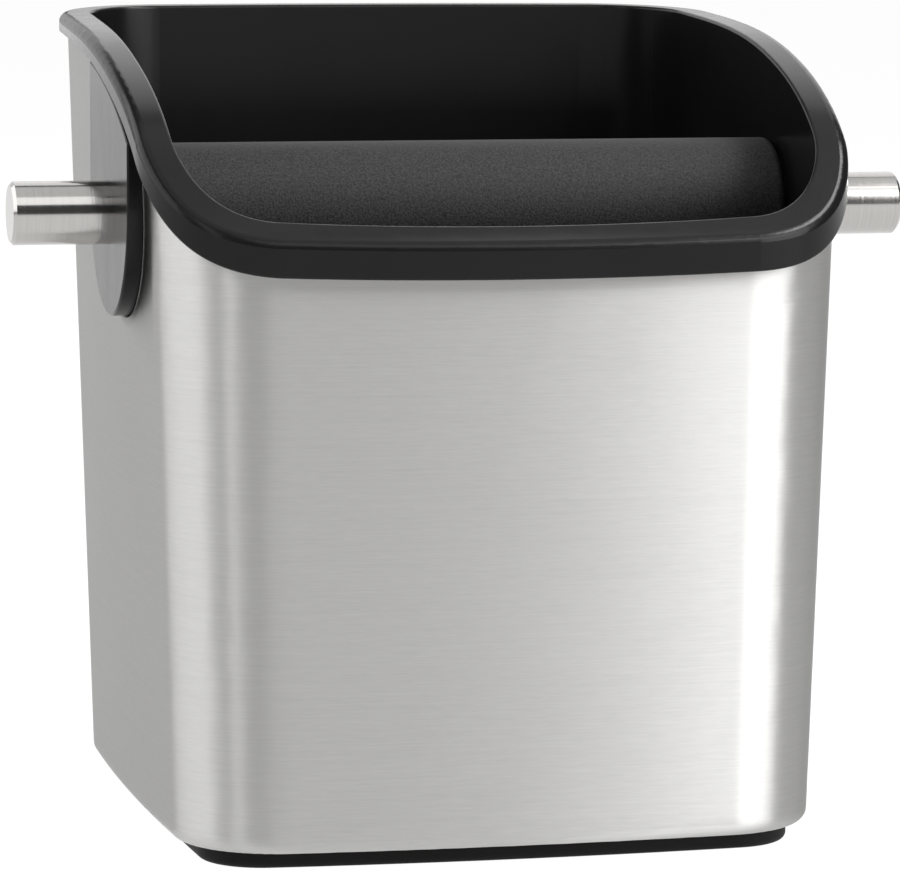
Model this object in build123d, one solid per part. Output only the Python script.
from build123d import *
import math
import os

# Espresso knock box: a tapered steel shell, a lift-out tub whose rim laps over the shell's edge,
# and a knock bar carried in two ears that fill the notches in the shell's sides.
# X runs along the bar, Y from the low front to the high back, Z up, millimetres.
# The origin is the centre of the footprint on the worktop.

# Shell
shell_top_width = 134.0
shell_top_depth = 139.0
shell_foot_width = 124.4
shell_foot_depth = 130.9
shell_wall = 0.8
shell_foot_corner = 20.0
shell_top_corner = 23.6
shell_foot_round = 2.6
shell_flange = 11.0
front_bow_radius = 600.0
side_bow_radius = 1100.0

# Side view of the rim: the low lip, the steep swoop, the shoulder, the crest and the high back.
# Places are shares of the rim's half depth, levels are shares of its rise from lip to back.
# The last point stands just behind the rim, so that the curve runs clear through its back wall.
lip_height = 115.7
rim_rise = 39.2
curve_place_shares = (-1, -0.668, -0.211, 0.352, 1.01)
curve_level_shares = (0, 0.45, 0.793, 0.939, 1)
lip_slope_share = 0.9

# Rim: it stands out past the shell and laps down over the shell's edge
rim_overhang = 1.6
rim_top_round = 2.0
rim_inner_round = 0.6
rim_skirt_round = 0.4
rim_skirt_wall = 1.1
rim_web = 1.6
lip_skirt = 6.8
back_skirt = 3.6
skirt_shares = (1, 0.81, 0.3, 0.11, 0)

# Tub
tub_wall = 1.9
tub_floor = 2.2
tub_gap = 1.0
tub_foot_round = 9.0
tub_foot_width = 9.0
tub_foot_recess = 0.6
collar_depth = 9.7
collar_gap = 0.6
collar_corner_ease = 0.9

# Knock bar
bar_place = 17.1
bar_rise = 2.6
rod_diameter = 12.0
rod_reach = 18.7
rod_chamfer = 0.6
sleeve_diameter = 26.0
sleeve_end_room = 0.6
sleeve_end_round = 1.4
washer_diameter = 20.0
washer_thickness = 0.4

# Ears: round-ended plates on the tub's sides, with a spigot through the wall
ear_radius = 21.6
ear_rise = 2.1
ear_face_inset = 0.45
ear_edge_round = 0.4
spigot_diameter = 17.0
ring_section = 1.6
ear_screw_spread = 24.0
ear_screw_drop = 10.0
ear_screw_diameter = 2.5
ear_screw_head = 4.4
ear_screw_head_height = 1.2
ear_screw_grip = 2.6

# Base
base_height = 3.2
base_inset = 4.4
base_corner = 12.5
base_round = 1.3
base_tread = 13.0
base_recess = 1.0
pan_thickness = 2.4
pan_inset = 2.4
base_screw_inset = 23.0
base_screw_diameter = 3.0
base_screw_head = 5.6
base_screw_head_height = 1.2
base_screw_length = 4.0
base_washer_diameter = 9.0
base_washer_thickness = 0.5
base_washer_lift = 1.7

# Clearances
edge_gap = 0.3
notch_gap = 0.4
ear_top_gap = 0.5
rod_gap = 0.05
spigot_gap = 0.1
hole_gap = 0.2
overrun = 12.0

back_height = lip_height + rim_rise
collar_foot_level = lip_height - collar_depth
tub_foot_level = base_height + shell_wall + pan_thickness
block_foot = lip_height / 2
block_top = back_height + overrun
bar_centre = (0, -bar_place, lip_height + bar_rise)
rod_radius = rod_diameter / 2
facing_share = 0.5
corner_passes = 4


def bow_place(half_size, radius, reach):
    """How far out a bowed side stands, at a reach along it from its middle."""
    return half_size - radius + math.sqrt(radius**2 - reach**2)


def outline(half_width, half_depth, corner):
    """A four-sided face with gently bowed sides and round corners, lying on XY."""
    x, y = half_width, half_depth
    for _ in range(corner_passes):
        x = bow_place(half_width, side_bow_radius, y)
        y = bow_place(half_depth, front_bow_radius, x)
    front = ThreePointArc((-x, -y), (0, -half_depth), (x, -y))
    right = ThreePointArc((x, -y), (half_width, 0), (x, y))
    back = ThreePointArc((x, y), (0, half_depth), (-x, y))
    left = ThreePointArc((-x, y), (-half_width, 0), (-x, -y))
    face = make_face([front, right, back, left])
    return fillet(face.vertices(), corner)


def prism(half_width, half_depth, corner, low, high):
    """An upright block of the bowed outline between two levels."""
    return extrude(Pos(0, 0, low) * outline(half_width, half_depth, corner), high - low)


def shell_half(level, inset):
    """Half width and half depth of the tapered shell at a level, less an inset."""
    share = (level - base_height) / (back_height - base_height)
    width = shell_foot_width + (shell_top_width - shell_foot_width) * share
    depth = shell_foot_depth + (shell_top_depth - shell_foot_depth) * share
    return width / 2 - inset, depth / 2 - inset


def shell_corner(level, inset):
    """Corner radius of the tapered shell at a level, less an inset."""
    share = (level - base_height) / (back_height - base_height)
    return shell_foot_corner + (shell_top_corner - shell_foot_corner) * share - inset


def rim_half(inset):
    """Half width and half depth of the upright rim, which clears the shell at all levels."""
    low = shell_half(collar_foot_level, inset - rim_overhang)
    high = shell_half(back_height, inset - rim_overhang)
    return max(low[0], high[0]), max(low[1], high[1])


def rim_corner(inset):
    """Corner radius of the rim, less an inset."""
    corners = (shell_corner(level, inset - rim_overhang) for level in (collar_foot_level, back_height))
    return max(corners)


def collar_half(inset):
    """Half width and half depth of the tub's upright collar, which fits inside the shell."""
    clear = shell_wall + collar_gap + inset
    low = shell_half(collar_foot_level, clear)
    high = shell_half(back_height, clear)
    return min(low[0], high[0]), min(low[1], high[1])


def collar_corner(inset):
    """Corner radius of the collar, less an inset."""
    clear = shell_wall + collar_gap + collar_corner_ease + inset
    return min(shell_corner(level, clear) for level in (collar_foot_level, back_height))


def wall_place(reach):
    """How far out the tub's inner wall stands, at a reach along it from the bar."""
    return bow_place(collar_half(tub_wall)[0], side_bow_radius, bar_place + reach)


def tapered(low, low_half, high, high_half, low_corner, high_corner):
    """A tapered block between two bowed outlines."""
    foot = Pos(0, 0, low) * outline(low_half[0], low_half[1], low_corner)
    head = Pos(0, 0, high) * outline(high_half[0], high_half[1], high_corner)
    return loft([foot, head], ruled=True)


def under_profile(drops):
    """All the space below the side-view curve, let down by one drop for each of its points."""
    half_depth = rim_half(0)[1]
    places = [half_depth * share for share in curve_place_shares]
    levels = [lip_height + rim_rise * share for share in curve_level_shares]
    points = [(y, z - drop) for y, z, drop in zip(places, levels, drops)]
    lip = points[0]
    back = points[-1]
    slope = lip_slope_share * rim_rise / (2 * half_depth)
    start = (lip[0] - overrun, lip[1] - overrun * slope)
    end = (back[0] + overrun, back[1])
    curve = Spline(start, *points, end, tangents=[(1, slope), (1, 0)])
    sides = Polyline(end, (end[0], -overrun), (start[0], -overrun), start)
    face = Plane.YZ * make_face([curve, sides])
    return extrude(Pos(-rod_half, 0, 0) * face, 2 * rod_half)


def along_bar(radius, low_x, high_x, centre=bar_centre):
    """A round bar along X between two places, about the bar's axis or another."""
    start = Plane(origin=(low_x, centre[1], centre[2]), x_dir=(0, 1, 0), z_dir=(1, 0, 0))
    return extrude(start * Circle(radius), high_x - low_x)


def on_side(side, radius, inner, outer, centre=bar_centre):
    """A round bar on one side of the box (-1 left, 1 right), between two distances from its middle."""
    low, high = sorted((side * inner, side * outer))
    return along_bar(radius, low, high, centre)


def ear_block(gap, reach):
    """The ear's upright shape, round below and straight above, as a block right across the box."""
    radius = ear_radius + gap
    centre_level = bar_centre[2] + ear_rise
    round_end = Pos(-bar_place, centre_level) * Circle(radius)
    rise = block_top - centre_level
    straight = Pos(-bar_place, centre_level + rise / 2) * Rectangle(2 * radius, rise)
    side = Plane.YZ * (round_end + straight)
    return extrude(Pos(-reach, 0, 0) * side, 2 * reach)


ear_face = rim_half(ear_face_inset)[0]
rod_half = ear_face + rod_reach
skirt_drops = [back_skirt + (lip_skirt - back_skirt) * share for share in skirt_shares]
no_drops = [0] * len(skirt_shares)
web_drops = [rim_web] * len(skirt_shares)
edge_drops = [rim_web + edge_gap] * len(skirt_shares)
ear_drops = [drop + ear_top_gap for drop in skirt_drops]


def outer_shell():
    """Sheet steel shell, tapered, with a turned-in foot, a swept edge and two open notches."""
    solid = shell_block(base_height, 0)
    foot_edges = solid.faces().sort_by(Axis.Z)[0].edges()
    solid = fillet(foot_edges, shell_foot_round)
    floor = base_height + shell_wall
    hollow = shell_block(floor, shell_wall)
    hollow_edges = hollow.faces().sort_by(Axis.Z)[0].edges()
    hollow = fillet(hollow_edges, shell_foot_round - shell_wall)
    shell = solid - hollow - flange_window(0, 0, floor + shell_wall)
    shell = shell & under_profile(edge_drops)
    return shell - ear_block(notch_gap, rod_half)


def shell_block(low, inset):
    """Tapered block that fills the shell from a level up, less an inset all round."""
    foot = shell_half(low, inset)
    head = shell_half(back_height, inset)
    low_corner = shell_corner(low, inset)
    high_corner = shell_corner(back_height, inset)
    return tapered(low, foot, back_height, head, low_corner, high_corner)


def flange_window(gap, low, high):
    """Block that fills the opening inside the turned-in foot, less a gap."""
    half = shell_half(base_height, shell_flange + gap)
    return prism(half[0], half[1], shell_foot_corner - shell_flange / 2, low, high)


def tub_block(foot_level, inset, foot_round, high):
    """Tapered bin with an upright collar on it, less an inset all round."""
    foot = shell_half(tub_foot_level, shell_wall + tub_gap + inset)
    foot_corner = shell_corner(tub_foot_level, shell_wall + tub_gap + inset)
    collar = collar_half(inset)
    corner = collar_corner(inset)
    bin_part = tapered(foot_level, foot, collar_foot_level, collar, foot_corner, corner)
    bin_part = fillet(bin_part.faces().sort_by(Axis.Z)[0].edges(), foot_round)
    return bin_part + prism(collar[0], collar[1], corner, collar_foot_level, high)


def tub_outside():
    """Outer form of the tub below the rim."""
    return tub_block(tub_foot_level, 0, tub_foot_round, block_top)


def tub_inside():
    """Hollow of the tub, one wall inside its outer form."""
    floor = tub_foot_level + tub_floor
    return tub_block(floor, tub_wall, tub_foot_round - tub_wall, block_top + overrun)


def rim_block(inset):
    """Upright block that fills the rim's outline, less an inset all round."""
    half = rim_half(inset)
    return prism(half[0], half[1], rim_corner(inset), block_foot, block_top)


def inner_tub():
    """Black tub with a rim that folds outwards and down over the shell's edge."""
    opening = collar_half(tub_wall)
    hole = prism(opening[0], opening[1], collar_corner(tub_wall), block_foot, block_top)
    rim = ((rim_block(0) - hole) & under_profile(no_drops)) - under_profile(skirt_drops)
    rim = fillet(widest_face(rim, 1).outer_wire().edges(), rim_top_round)
    rim = fillet(widest_face(rim, 1).inner_wires()[0].edges(), rim_inner_round)
    rim = fillet(widest_face(rim, -1).outer_wire().edges(), rim_skirt_round)
    rim = rim - (rim_block(rim_skirt_wall) & under_profile(web_drops))
    tub = rim + (tub_outside() & under_profile(web_drops))
    tub = tub - tub_inside()
    foot = shell_half(tub_foot_level, shell_wall + tub_gap + tub_foot_round + tub_foot_width)
    foot_corner = shell_foot_corner - tub_foot_width
    low = tub_foot_level - tub_foot_recess
    tub -= prism(foot[0], foot[1], foot_corner, low, tub_foot_level + tub_foot_recess)
    reach = rim_half(0)[0]
    tub -= along_bar(spigot_diameter / 2 + spigot_gap, -reach, reach)
    for centre in ear_screw_centres():
        tub -= along_bar(ear_screw_diameter / 2 + spigot_gap, -reach, reach, centre)
    return tub


def widest_face(solid, side):
    """The largest face that looks up (side 1) or down (side -1)."""
    faces = [face for face in solid.faces() if side * face.normal_at().Z > facing_share]
    return max(faces, key=lambda face: face.area)


def ear_screw_centres():
    """Places of the screws that hold an ear, on both sides of the bar and below it."""
    level = bar_centre[2] - ear_screw_drop
    front = (0, -bar_place - ear_screw_spread / 2, level)
    back = (0, -bar_place + ear_screw_spread / 2, level)
    return (front, back)


def ear(side):
    """One ear plate with its spigot, bar hole, ring groove and screw holes."""
    plates = (ear_block(0, ear_face) & under_profile(ear_drops)) - tub_outside()
    outer_faces = plates.faces().sort_by(Axis.X)
    plates = fillet(outer_faces[0].edges() + outer_faces[-1].edges(), ear_edge_round)
    plate = plates.solids().sort_by(Axis.X)[0 if side < 0 else -1]
    collar = collar_half(0)[0]
    plate += on_side(side, spigot_diameter / 2, wall_place(spigot_diameter / 2), collar + tub_wall)
    plate -= along_bar(rod_radius + rod_gap, -rod_half, rod_half)
    plate -= ring_groove(side)
    for centre in ear_screw_centres():
        plate -= on_side(side, ear_screw_diameter / 2, wall_place(ear_radius), screw_end(), centre)
    return plate


def screw_end():
    """How far out the ear screws reach."""
    return collar_half(0)[0] + ear_screw_grip


def ring_groove(side):
    """The groove inside the ear that holds the sealing ring."""
    half = ring_section / 2 + spigot_gap
    middle = side * collar_half(0)[0]
    depth = rod_radius + ring_section
    return along_bar(depth, middle - half, middle + half)


def sealing_ring(side):
    """Round rubber ring that seals the bar in the ear."""
    middle = side * collar_half(0)[0]
    plane = Plane(origin=(middle, bar_centre[1], bar_centre[2]), x_dir=(0, 1, 0), z_dir=(1, 0, 0))
    section = ring_section / 2 - rod_gap
    return plane * Torus(rod_radius + rod_gap + section, section)


def ear_screws():
    """Pan-head screws that hold the ears from inside the tub."""
    screws = []
    for side in (-1, 1):
        for centre in ear_screw_centres():
            seat = wall_place(abs(centre[1]) - bar_place + ear_screw_head / 2)
            shank = on_side(side, ear_screw_diameter / 2, seat, screw_end(), centre)
            head = on_side(side, ear_screw_head / 2, seat - ear_screw_head_height, seat, centre)
            screws.append(shank + head)
    return Compound(children=screws)


def bar_rod():
    """Plain steel rod right through the box, chamfered at its ends."""
    rod = along_bar(rod_radius, -rod_half, rod_half)
    ends = rod.edges().filter_by(GeomType.CIRCLE)
    return chamfer(ends, rod_chamfer)


def bar_sleeve():
    """Thick rubber sleeve on the rod, round at its ends."""
    half = sleeve_half()
    sleeve = along_bar(sleeve_diameter / 2, -half, half)
    sleeve = fillet(sleeve.edges().filter_by(GeomType.CIRCLE), sleeve_end_round)
    return sleeve - along_bar(rod_radius + rod_gap, -rod_half, rod_half)


def sleeve_half():
    """Half the sleeve's length: it stops short of the tub's walls by the room for a washer."""
    return wall_place(washer_diameter / 2) - sleeve_end_room


def thrust_washer(side):
    """Thin washer between the sleeve's end and the tub's wall."""
    low = sleeve_half() + (sleeve_end_room - washer_thickness) / 2
    washer = on_side(side, washer_diameter / 2, low, low + washer_thickness)
    return washer - along_bar(rod_radius + rod_gap, -rod_half, rod_half)


def base_screw_places():
    """The four screw places under the box."""
    half = shell_half(base_height, base_screw_inset)
    return GridLocations(2 * half[0], 2 * half[1], 2, 2)


def base_pan():
    """Plate inside the shell that clamps its flange and carries the tub."""
    low = base_height + shell_wall
    half = shell_half(low, shell_wall + pan_inset)
    plate = prism(half[0], half[1], shell_foot_corner - pan_inset, low, low + pan_thickness)
    pan = plate + flange_window(edge_gap, base_height, low)
    for place in base_screw_places():
        hole = Pos(0, 0, base_height) * place * Circle(base_screw_diameter / 2)
        pan -= extrude(hole, base_screw_length - (base_height - base_washer_top()))
    return pan


def base_washer_top():
    """Level of the top of the washers, sunk in the rubber base."""
    return base_washer_lift + base_washer_thickness


def non_slip_base():
    """Rubber base under the shell, with a raised tread all round and sunk screw places."""
    half = shell_half(base_height, base_inset)
    base = prism(half[0], half[1], base_corner, 0, base_height)
    base = fillet(base.faces().sort_by(Axis.Z)[0].edges(), base_round)
    inner = shell_half(base_height, base_inset + base_tread)
    base -= prism(inner[0], inner[1], base_corner, 0, base_recess)
    for place in base_screw_places():
        well = place * Circle(base_washer_diameter / 2 + hole_gap)
        base -= extrude(well, base_washer_top())
        base -= extrude(place * Circle(base_screw_diameter / 2 + hole_gap), base_height)
    return base


def base_washers():
    """Washers under the base screws."""
    washers = []
    for place in base_screw_places():
        ring = Circle(base_washer_diameter / 2) - Circle(base_screw_diameter / 2 + hole_gap)
        washers.append(extrude(Pos(0, 0, base_washer_lift) * place * ring, base_washer_thickness))
    return Compound(children=washers)


def base_screws():
    """Pan-head screws that draw the rubber base and the pan together on the flange."""
    screws = []
    for place in base_screw_places():
        head = Pos(0, 0, base_washer_lift - base_screw_head_height) * place * Circle(base_screw_head / 2)
        shank = Pos(0, 0, base_washer_lift) * place * Circle(base_screw_diameter / 2)
        length = base_washer_thickness + base_screw_length
        screws.append(extrude(head, base_screw_head_height) + extrude(shank, length))
    return Compound(children=screws)


nodes = {
    "outer_shell": outer_shell(),
    "base_pan": base_pan(),
    "non_slip_base": non_slip_base(),
    "base_washers": base_washers(),
    "base_screws": base_screws(),
    "inner_tub": inner_tub(),
    "left_ear": ear(-1),
    "right_ear": ear(1),
    "left_sealing_ring": sealing_ring(-1),
    "right_sealing_ring": sealing_ring(1),
    "ear_screws": ear_screws(),
    "bar_rod": bar_rod(),
    "bar_sleeve": bar_sleeve(),
    "left_thrust_washer": thrust_washer(-1),
    "right_thrust_washer": thrust_washer(1),
}

os.makedirs("parts", exist_ok=True)
for name, shape in nodes.items():
    export_step(shape, f"parts/{name}.step")
    print(name, len(shape.solids()), round(shape.volume, 1))
